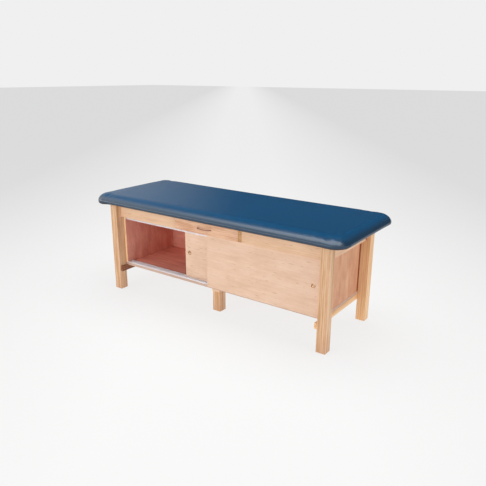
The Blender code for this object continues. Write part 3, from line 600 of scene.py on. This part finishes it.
def pad_start_form():
    """A closed form that lies a little inside the finished pad."""
    bm = bmesh.new()
    rings = []
    for step in range(-PAD_ROLL_STEPS, PAD_ROLL_STEPS + 1):
        angle = step / PAD_ROLL_STEPS * math.pi / 2
        roll = PAD_BOTTOM_ROLL if step < 0 else PAD_TOP_ROLL
        rise = PAD_WIDEST - PAD_BOTTOM if step < 0 else PAD_TOP - PAD_SWELL - PAD_WIDEST
        inset = PAD_SWELL + (roll - PAD_SWELL) * (1 - math.cos(angle))
        rings.append(pad_ring(bm, inset, PAD_WIDEST + rise * math.sin(angle)))
    for low, high in zip(rings, rings[1:]):
        for i in range(len(low)):
            j = (i + 1) % len(low)
            bm.faces.new((low[i], low[j], high[j], high[i]))
    bm.faces.new(list(reversed(rings[0])))
    bm.faces.new(rings[-1])
    mesh = bpy.data.meshes.new("pad_start")
    bm.to_mesh(mesh)
    bm.free()
    start = bpy.data.objects.new("upholstered_pad", mesh)
    bpy.context.scene.collection.objects.link(start)
    return start


def bake_modifiers(obj):
    """Replace an object's mesh with what its modifiers make of it."""
    graph = bpy.context.evaluated_depsgraph_get()
    mesh = bpy.data.meshes.new_from_object(obj.evaluated_get(graph))
    obj.modifiers.clear()
    obj.data = mesh


def mesh_points(mesh):
    """A mesh's vertices as an array."""
    points = np.zeros(len(mesh.vertices) * 3, np.float32)
    mesh.vertices.foreach_get("co", points)
    return points.reshape(-1, 3).astype(float)


def inflate(pad):
    """Swell the vinyl over the foam with a short cloth simulation; the underside is held."""
    before = mesh_points(pad.data)
    held = pad.vertex_groups.new(name="held")
    flat = np.nonzero(before[:, 2] < PAD_BOTTOM + PAD_VOXEL / 2)[0]
    held.add(flat.tolist(), 1.0, "REPLACE")
    cloth = pad.modifiers.new("stuffing", "CLOTH")
    cloth.settings.quality = 4
    cloth.settings.tension_stiffness = PAD_STIFFNESS
    cloth.settings.compression_stiffness = PAD_STIFFNESS
    cloth.settings.bending_stiffness = PAD_BENDING
    cloth.settings.use_pressure = True
    cloth.settings.uniform_pressure_force = PAD_PRESSURE
    cloth.settings.vertex_group_mass = held.name
    cloth.settings.effector_weights.gravity = 0.0
    cloth.collision_settings.use_collision = False
    cloth.point_cache.frame_start = 1
    cloth.point_cache.frame_end = PAD_FRAMES
    for step in range(1, PAD_FRAMES + 1):
        bpy.context.scene.frame_set(step)
    bake_modifiers(pad)
    bpy.context.scene.frame_set(1)
    moved = mesh_points(pad.data) - before
    length = np.linalg.norm(moved, axis=1)
    capped = np.minimum(length, PAD_CAP) / np.maximum(length, 1e-9)
    points = before + moved * capped[:, None]
    pad.data.vertices.foreach_set("co", points.astype(np.float32).ravel())


def fit_to_cad(mesh):
    """Stretch the swollen pad level with the CAD cover's rim and top."""
    points = mesh_points(mesh)
    points[:, 0] *= PAD_HALF_LENGTH / np.abs(points[:, 0]).max()
    points[:, 1] *= PAD_HALF_WIDTH / np.abs(points[:, 1]).max()
    above = np.maximum(points[:, 2] - PAD_WIDEST, 0.0)
    points[:, 2] += above * ((PAD_TOP - PAD_WIDEST) / above.max() - 1.0)
    mesh.vertices.foreach_set("co", points.astype(np.float32).ravel())


def fold_corners(mesh):
    """Gather the vinyl in pleats below each corner and let the folded corners hang a little."""
    points = mesh_points(mesh)
    below = np.clip((PAD_WIDEST - points[:, 2]) / (PAD_WIDEST - PAD_BOTTOM), 0.0, 1.0)
    hang_from = PAD_WIDEST + SAG_RISE
    hanging = np.clip((hang_from - points[:, 2]) / (hang_from - PAD_BOTTOM), 0.0, 1.0)
    leg_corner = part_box("leg_back_right")[1]
    for (x_sign, y_sign), sag in CORNER_SAG.items():
        offset_x = x_sign * points[:, 0] - (PAD_HALF_LENGTH - PAD_CORNER)
        offset_y = y_sign * points[:, 1] - (PAD_HALF_WIDTH - PAD_CORNER)
        in_corner = (offset_x > 0) & (offset_y > 0)
        radius = np.hypot(offset_x, offset_y)
        angle = np.arctan2(offset_y, offset_x)
        groove = np.zeros(len(points))
        for pleat in range(PLEATS_PER_CORNER):
            centre = (pleat + 0.5) / PLEATS_PER_CORNER * math.pi / 2
            across = (angle - centre) * radius
            groove = np.maximum(groove, np.exp(-(across / PLEAT_WIDTH * 2) ** 2))
        depth = np.where(in_corner, PLEAT_DEPTH * groove * below, 0.0)
        inward = np.maximum(radius, 1e-6)
        points[:, 0] -= x_sign * depth * offset_x / inward
        points[:, 1] -= y_sign * depth * offset_y / inward
        distance = np.hypot(x_sign * points[:, 0] - PAD_HALF_LENGTH,
                            y_sign * points[:, 1] - PAD_HALF_WIDTH)
        near = np.clip(1 - distance / SAG_REACH, 0.0, 1.0) ** SAG_FALL_OFF
        outside = np.maximum(x_sign * points[:, 0] - leg_corner.x,
                             y_sign * points[:, 1] - leg_corner.y)
        beyond_leg = np.clip(outside / SAG_CLEARANCE, 0.0, 1.0)
        points[:, 2] -= sag * near * beyond_leg * np.sqrt(hanging)
    mesh.vertices.foreach_set("co", points.astype(np.float32).ravel())


def open_underside(mesh):
    """Remove the vinyl inside the line where it is turned under and stapled to the board."""
    limit_x = PAD_HALF_LENGTH - VINYL_TURN_UNDER
    limit_y = PAD_HALF_WIDTH - VINYL_TURN_UNDER
    bm = bmesh.new()
    bm.from_mesh(mesh)
    inside = []
    for face in bm.faces:
        centre = face.calc_center_median()
        low = centre.z < PAD_BOTTOM + PAD_VOXEL / 2
        if low and abs(centre.x) < limit_x and abs(centre.y) < limit_y:
            inside.append(face)
    bmesh.ops.delete(bm, geom=inside, context="FACES")
    bm.to_mesh(mesh)
    bm.free()


def flatten_underside(mesh):
    """Lay the held underside exactly on the frame's top."""
    points = mesh_points(mesh)
    low = points[:, 2] < PAD_BOTTOM + PAD_VOXEL / 2
    supported = (np.abs(points[:, 0]) < PAD_HALF_LENGTH - PAD_BOTTOM_ROLL)
    supported &= np.abs(points[:, 1]) < PAD_HALF_WIDTH - PAD_BOTTOM_ROLL
    points[low & supported, 2] = PAD_BOTTOM
    mesh.vertices.foreach_set("co", points.astype(np.float32).ravel())


def build_upholstery():
    """The vinyl-covered pad, which stands for the CAD cover and foam."""
    pad = pad_start_form()
    remesh = pad.modifiers.new("even_faces", "REMESH")
    remesh.mode = "VOXEL"
    remesh.voxel_size = PAD_VOXEL
    bake_modifiers(pad)
    inflate(pad)
    fit_to_cad(pad.data)
    flatten_underside(pad.data)
    open_underside(pad.data)
    fold_corners(pad.data)
    thickness = pad.modifiers.new("vinyl", "SOLIDIFY")
    thickness.thickness = VINYL_THICKNESS
    thickness.offset = -1.0
    smooth = pad.modifiers.new("smooth", "SUBSURF")
    smooth.levels = 1
    smooth.render_levels = 1
    bake_modifiers(pad)
    pad.data.shade_smooth()
    pad.data.materials.clear()
    pad.data.materials.append(PLAIN["blue_vinyl"])
    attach(pad, "frame")
    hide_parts("pad_cover", "pad_foam")


STAPLE_INSET = 3.4 * INCH                   # from the rim
STAPLE_STEP = 0.038
STAPLE_HALF_CROWN = 0.0055
STAPLE_WIRE = 0.00045
STAPLE_CORNER = 0.03                        # rows stop this far short of the corner
STAPLE_SIDES = 6
LEG_MARGIN = 0.01
# A staple's crown, as shares of its half length and a lift in wire radii
STAPLE_PATH = ((-1.0, 2.5), (-0.92, 0.4), (-0.8, 0.0), (0.8, 0.0), (0.92, 0.4), (1.0, 2.5))


def over_a_leg(x, y):
    """Whether a point under the pad is on top of a leg."""
    for name in ("leg_front_left", "leg_front_right", "leg_back_left", "leg_back_right"):
        low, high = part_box(name)
        along = low.x - LEG_MARGIN < x < high.x + LEG_MARGIN
        if along and low.y - LEG_MARGIN < y < high.y + LEG_MARGIN:
            return True
    return False


def add_staple(bm, x, y, along_x):
    """Add a staple's crown: a short wire that is bent up at both ends."""
    along = Vector((1, 0, 0)) if along_x else Vector((0, 1, 0))
    middle = Vector((x, y, PAD_BOTTOM - STAPLE_WIRE))
    side = along.cross(Vector((0, 0, 1)))
    turns = [k * 2 * math.pi / STAPLE_SIDES for k in range(STAPLE_SIDES)]
    rings = []
    for share, lift in STAPLE_PATH:
        centre = middle + along * share * STAPLE_HALF_CROWN
        centre.z += lift * STAPLE_WIRE
        rings.append([bm.verts.new(centre + STAPLE_WIRE * (
            side * math.cos(turn) + Vector((0, 0, math.sin(turn))))) for turn in turns])
    for first, second in zip(rings, rings[1:]):
        for i in range(STAPLE_SIDES):
            j = (i + 1) % STAPLE_SIDES
            bm.faces.new((first[i], first[j], second[j], second[i]))
    bm.faces.new(list(reversed(rings[0])))
    bm.faces.new(rings[-1])


def build_staples():
    """A row of staples round the turned-under vinyl."""
    reach_x = PAD_HALF_LENGTH - STAPLE_INSET
    reach_y = PAD_HALF_WIDTH - STAPLE_INSET
    bm = bmesh.new()
    for half, other, along_x in ((reach_x - STAPLE_CORNER, reach_y, True),
                                 (reach_y - STAPLE_CORNER, reach_x, False)):
        count = int(2 * half / STAPLE_STEP)
        for sign in (-1, 1):
            for index in range(count + 1):
                run = -half + 2 * half * index / count
                x, y = (run, sign * other) if along_x else (sign * other, run)
                if not over_a_leg(x, y):
                    add_staple(bm, x, y, along_x)
    bmesh.ops.recalc_face_normals(bm, faces=bm.faces)
    add_piece("upholstery_staples", bm, "steel", "frame")


# ----------------------------------------------------------------------------------------------
# Fasteners and fittings
# ----------------------------------------------------------------------------------------------

# Radius and height of the screw heads
TRACK_HEAD = (0.0034, 0.0014)
RAIL_HEAD = (0.0048, 0.0024)
SHOE_HEAD = (0.0028, 0.0012)
SLIDE_HEAD = (0.0030, 0.0013)

TRACK_SCREW_INSET = 0.5 * INCH              # from a track's end, clear of the shoes and glides
TRACK_WALL = 0.08 * INCH
TRACK_CHANNEL = 0.73 * INCH
RAIL_SCREW_INSETS = (0.022, 0.045)          # from either end of an end rail
CENTRE_RAIL_SCREWS = (-0.07, 0.0, 0.07)
SHOE_SCREW_INSET = 0.008
SHOE_SCREW_LEVEL = 0.006                    # from the edge of the shoe's plate
SHOE_PLATE = 0.24 * INCH
SLIDE_WEB = 0.05 * INCH
SLIDE_SCREW_SHARES = (0.08, 0.36, 0.64, 0.92)


def build_track_screws():
    """Screws at the ends of the channels of both door tracks."""
    low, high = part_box("door_track_bottom")
    rows = [low.y + TRACK_WALL + TRACK_CHANNEL / 2, low.y + 2 * TRACK_WALL + 1.5 * TRACK_CHANNEL]
    ends = [low.x + TRACK_SCREW_INSET, high.x - TRACK_SCREW_INSET]
    places = [(x, y, low.z + TRACK_WALL) for y in rows for x in ends]
    screws("track_screws_bottom", places, (0, 0, 1), *TRACK_HEAD, "frame")
    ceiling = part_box("door_track_top")[HIGH].z - TRACK_WALL
    places = [(x, y, ceiling) for y in rows for x in ends]
    screws("track_screws_top", places, (0, 0, -1), *TRACK_HEAD, "frame")


def build_frame_screws():
    """Screws through the end rails and the centre rail."""
    for side, sign in (("left", -1), ("right", 1)):
        low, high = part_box("end_rail_" + side)
        inner = high.x if sign < 0 else low.x
        first, second = RAIL_SCREW_INSETS
        ys = (low.y + first, low.y + second, high.y - second, high.y - first)
        places = [(inner, y, (low.z + high.z) / 2) for y in ys]
        screws("end_rail_screws_" + side, places, (-sign, 0, 0), *RAIL_HEAD, "frame",
               "dark_bronze")
    low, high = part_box("centre_rail")
    places = [((low.x + high.x) / 2, y, low.z) for y in CENTRE_RAIL_SCREWS]
    screws("centre_rail_screws", places, (0, 0, -1), *RAIL_HEAD, "frame")


# Turned forms, as (radius, height) from the top down
WASHER_HEIGHT = 0.0022
WASHER = ((0.0, WASHER_HEIGHT), (0.0115, WASHER_HEIGHT), (0.0125, 0.0012), (0.0125, 0.0),
          (0.0, 0.0))
NUT_RADIUS = 0.0085
NUT_HEIGHT = 0.0065
NUT = ((0.0, NUT_HEIGHT), (0.86 * NUT_RADIUS, NUT_HEIGHT), (NUT_RADIUS, 0.85 * NUT_HEIGHT),
       (NUT_RADIUS, 0.0), (0.0, 0.0))
BOLT_END = ((0.0, 0.005), (0.0026, 0.005), (0.0032, 0.0042), (0.0032, 0.0), (0.0, 0.0))
BRAD = ((0.0, 0.0007), (0.0012, 0.0006), (0.0021, 0.0002), (0.0021, 0.0), (0.0, 0.0))
COLLAR = ((0.0, 0.0026), (0.0045, 0.0026), (0.0060, 0.0018), (0.0068, 0.0007), (0.0068, 0.0),
          (0.0, 0.0))
WASHER_GAP = 0.0002
ROUND_STEPS = 28
BOLT_STEPS = 16
BRAD_STEPS = 12


def corner_block_face(name, x_sign, y_sign):
    """A matrix on the slanting face of a corner block, facing the middle of the table."""
    low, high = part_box(name)
    inner_x, outer_x = (high.x, low.x) if x_sign < 0 else (low.x, high.x)
    inner_y, outer_y = (high.y, low.y) if y_sign < 0 else (low.y, high.y)
    middle = Vector(((inner_x + outer_x) / 2, (inner_y + outer_y) / 2, (low.z + high.z) / 2))
    edge = Vector((outer_x - inner_x, inner_y - outer_y, 0.0))
    normal = Vector((edge.y, -edge.x, 0.0)).normalized()
    if normal.dot(Vector((-x_sign, -y_sign, 0.0))) < 0:
        normal = -normal
    return facing(middle + normal * WASHER_GAP, normal)


def build_corner_bolts():
    """A washer, a six-sided nut and a bolt's end on the face of each corner block."""
    for y_name, y_sign in (("front", -1), ("back", 1)):
        for x_name, x_sign in (("left", -1), ("right", 1)):
            corner = y_name + "_" + x_name
            washer = corner_block_face("corner_block_" + corner, x_sign, y_sign)
            nut = washer @ Matrix.Translation((0, 0, WASHER_HEIGHT))
            bolt_end = nut @ Matrix.Translation((0, 0, NUT_HEIGHT))
            bm = bmesh.new()
            add_revolved(bm, WASHER, washer, ROUND_STEPS)
            add_revolved(bm, NUT, nut, 6)
            add_revolved(bm, BOLT_END, bolt_end, BOLT_STEPS)
            bmesh.ops.recalc_face_normals(bm, faces=bm.faces)
            add_piece("corner_bolt_" + corner, bm, "steel", "frame")


BRAD_INSET = 0.011
BRAD_TOP_INSET = 0.006
BRAD_GAPS_ALONG = 16
BRAD_GAPS_UP = 5


def build_back_brads():
    """Brad heads round the edge of the thin cabinet back."""
    low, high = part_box("cabinet_back")
    start, end = low.x + BRAD_INSET, high.x - BRAD_INSET
    places = []
    for i in range(BRAD_GAPS_ALONG + 1):
        x = start + (end - start) * i / BRAD_GAPS_ALONG
        places += [(x, high.y, low.z + BRAD_INSET), (x, high.y, high.z - BRAD_TOP_INSET)]
    for i in range(1, BRAD_GAPS_UP):
        z = low.z + (high.z - low.z) * i / BRAD_GAPS_UP
        places += [(start, high.y, z), (end, high.y, z)]
    bm = bmesh.new()
    for place in places:
        add_revolved(bm, BRAD, facing(place, (0, 1, 0)), BRAD_STEPS)
    bmesh.ops.recalc_face_normals(bm, faces=bm.faces)
    add_piece("back_brads", bm, "steel", "frame")


PULL_RADIUS = 0.13 * INCH


def build_pull_collars():
    """A small collar round each foot of the drawer pull."""
    low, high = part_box("drawer_pull")
    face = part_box("drawer_front")[LOW].y
    bm = bmesh.new()
    for x in (low.x + PULL_RADIUS, high.x - PULL_RADIUS):
        place = facing((x, face, (low.z + high.z) / 2), (0, -1, 0))
        add_revolved(bm, COLLAR, place, ROUND_STEPS)
    bmesh.ops.recalc_face_normals(bm, faces=bm.faces)
    add_piece("drawer_pull_collars", bm, "brass", "drawer")


def build_shoe_screws():
    """Screws that hold the nylon shoes to the back of the right door."""
    for level in ("bottom", "top"):
        places = []
        for end in ("left", "right"):
            low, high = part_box("right_door_shoe_" + level + "_" + end)
            z = high.z - SHOE_SCREW_LEVEL if level == "bottom" else low.z + SHOE_SCREW_LEVEL
            places += [(x, low.y + SHOE_PLATE, z)
                       for x in (low.x + SHOE_SCREW_INSET, high.x - SHOE_SCREW_INSET)]
        screws("shoe_screws_" + level, places, (0, 1, 0), *SHOE_HEAD, "right_door")


def build_slide_screws():
    """Screws in the moving slide members, seen when the drawer is open."""
    for side, sign in (("left", -1), ("right", 1)):
        low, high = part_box("drawer_slide_moving_" + side)
        web = high.x - SLIDE_WEB if sign < 0 else low.x + SLIDE_WEB
        places = [(web, low.y + (high.y - low.y) * share, (low.z + high.z) / 2)
                  for share in SLIDE_SCREW_SHARES]
        screws("slide_screws_" + side, places, (sign, 0, 0), *SLIDE_HEAD, "drawer")


# ----------------------------------------------------------------------------------------------
# Studio
# ----------------------------------------------------------------------------------------------

def build_camera():
    """The camera at the fitted viewpoint."""
    azimuth, elevation = CAMERA_AZIMUTH, CAMERA_ELEVATION
    back = Vector((math.sin(azimuth) * math.cos(elevation),
                   -math.cos(azimuth) * math.cos(elevation), math.sin(elevation)))
    right = Vector((math.cos(azimuth), math.sin(azimuth), 0.0))
    up = back.cross(right)
    rolled_right = right * math.cos(CAMERA_ROLL) + up * math.sin(CAMERA_ROLL)
    rolled_up = up * math.cos(CAMERA_ROLL) - right * math.sin(CAMERA_ROLL)
    matrix = Matrix((rolled_right, rolled_up, back)).transposed().to_4x4()
    matrix.translation = CAMERA_PLACE
    data = bpy.data.cameras.new("camera")
    data.sensor_width = CAMERA_SENSOR
    data.lens = CAMERA_LENS
    data.shift_x, data.shift_y = CAMERA_SHIFT
    camera = bpy.data.objects.new("camera", data)
    bpy.context.scene.collection.objects.link(camera)
    camera.matrix_world = matrix
    bpy.context.scene.camera = camera


def area_light(name, place, target, size, power, colour):
    """A soft rectangular light aimed at a point."""
    data = bpy.data.lights.new(name, "AREA")
    data.shape = "RECTANGLE"
    data.size, data.size_y = size
    data.energy = power
    data.color = colour
    light = bpy.data.objects.new(name, data)
    bpy.context.scene.collection.objects.link(light)
    light.location = place
    light.visible_glossy = False            # surfaces mirror the world's lights instead
    light.rotation_euler = (Vector(target) - Vector(place)).to_track_quat("-Z", "Y").to_euler()


BACKDROP = 0.87                             # what the camera sees
AMBIENT = 0.50                              # what lights matte surfaces
# What glossy surfaces see: a dim room, and lights in it.  Each has its strength and, for some
# axes of the direction, where it begins and where it is full.
MIRRORED_ROOM = 0.05
SOFTBOX_HIGH_IN_FRONT = (3.4, (("Z", 0.60, 0.74), ("Y", 0.02, -0.14), ("X", -0.68, -0.50)))
STRIP_LOW_IN_FRONT = (3.6, (("Z", -0.02, 0.03), ("Z", 0.20, 0.10), ("Y", -0.10, -0.30),
                            ("X", 0.40, 0.15)))
PALE_WALL_AT_LEFT = (0.55, (("X", -0.58, -0.78),))
PALE_ROOM_IN_FRONT = (1.3, (("Z", -0.05, 0.05), ("Y", 0.20, -0.20)))


def mirrored_room(tree):
    """How bright each direction is to a glossy surface."""
    direction = tree.add("ShaderNodeTexCoord").outputs["Generated"]
    parts = tree.add("ShaderNodeSeparateXYZ", {"Vector": direction}).outputs
    mirrored = MIRRORED_ROOM
    for strength, edges in (SOFTBOX_HIGH_IN_FRONT, STRIP_LOW_IN_FRONT, PALE_WALL_AT_LEFT,
                            PALE_ROOM_IN_FRONT):
        glow = strength
        for letter, outside, inside in edges:
            edge = tree.spread(parts[letter], outside, inside, 0.0, 1.0)
            glow = tree.maths("MULTIPLY", edge, glow)
        mirrored = tree.maths("ADD", glow, mirrored)
    return mirrored


def build_world():
    """Pale for the camera, soft and even as light, with lights and a wall to reflect."""
    world = bpy.data.worlds.new("studio")
    bpy.context.scene.world = world
    world.use_nodes = True
    tree = Tree(world.node_tree)
    rays = tree.add("ShaderNodeLightPath")
    lit = tree.add("ShaderNodeMix", {0: rays.outputs["Is Glossy Ray"], 2: AMBIENT,
                                     3: mirrored_room(tree)}).outputs[0]
    seen = tree.add("ShaderNodeMix", {0: rays.outputs["Is Camera Ray"], 2: lit,
                                      3: BACKDROP}).outputs[0]
    background = world.node_tree.nodes["Background"]
    background.inputs["Color"].default_value = (1.0, 1.0, 1.0, 1.0)
    world.node_tree.links.new(seen, background.inputs["Strength"])


FLOOR_HALF_SIZE = 60.0
FLOOR_DROP = 0.0005                         # below the glides
FLOOR_COLOUR = (0.80, 0.80, 0.80, 1.0)
FLOOR_GLOW_SHARE = 0.80                     # the rest of the floor takes shadows
# The glow is dimmer to both sides of the table: how bright it is, and how far across
FLOOR_ACROSS = (0.81, 0.58, 0.0)
FLOOR_BRIGHT = 0.96
FLOOR_DIM = 0.79
FLOOR_DIMS_FROM = 0.6
FLOOR_DIM_BY = 3.4


def floor_material():
    """A matte floor mixed with an even glow that falls off sideways."""
    material = bpy.data.materials.new("floor")
    material.use_nodes = True
    tree = Tree(material.node_tree)
    matte = tree.add("ShaderNodeBsdfDiffuse", {"Color": FLOOR_COLOUR})
    place = tree.add("ShaderNodeTexCoord").outputs["Object"]
    across = tree.add("ShaderNodeVectorMath", {0: place, 1: FLOOR_ACROSS},
                      operation="DOT_PRODUCT").outputs["Value"]
    strength = tree.spread(tree.absolute(across), FLOOR_DIMS_FROM, FLOOR_DIM_BY, FLOOR_BRIGHT,
                           FLOOR_DIM)
    glow = tree.add("ShaderNodeEmission", {"Color": (1.0, 1.0, 1.0, 1.0), "Strength": strength})
    mixed = tree.add("ShaderNodeMixShader", {0: FLOOR_GLOW_SHARE, 1: matte.outputs[0],
                                             2: glow.outputs[0]})
    output = material.node_tree.nodes["Material Output"]
    material.node_tree.links.new(mixed.outputs[0], output.inputs["Surface"])
    return material


def build_floor():
    """A large pale floor that takes only a faint shadow."""
    bm = bmesh.new()
    bmesh.ops.create_grid(bm, x_segments=1, y_segments=1, size=FLOOR_HALF_SIZE)
    mesh = bpy.data.meshes.new("floor")
    bm.to_mesh(mesh)
    bm.free()
    mesh.materials.append(floor_material())
    floor = bpy.data.objects.new("floor", mesh)
    floor.location.z = -FLOOR_DROP
    bpy.context.scene.collection.objects.link(floor)


WHITE = (1.0, 0.99, 0.98)
WARM = (1.0, 0.98, 0.96)
# Name, place, target, size, power in watts, colour
AREA_LIGHTS = (
    ("key", (-1.6, -4.6, 1.9), (0.0, 0.0, 0.40), (3.6, 2.0), 49.0, WHITE),
    ("low", (-0.6, -4.2, 0.75), (-0.4, 0.0, 0.40), (3.0, 0.9), 26.0, WARM),
    ("side", (4.4, -0.6, 1.3), (0.6, 0.0, 0.40), (2.4, 1.8), 33.0, WARM),
    ("overhead", (0.0, 0.3, 3.4), (0.0, 0.0, 0.75), (3.6, 2.4), 92.0, WHITE),
)


def build_studio():
    """Camera, world, floor and lights."""
    build_camera()
    build_world()
    build_floor()
    for light in AREA_LIGHTS:
        area_light(*light)
    bpy.context.scene.view_settings.view_transform = "Standard"


build_studio()
dress_cad_nodes()
build_upholstery()
build_staples()
build_track_screws()
build_frame_screws()
build_corner_bolts()
build_back_brads()
build_pull_collars()
build_shoe_screws()
build_slide_screws()
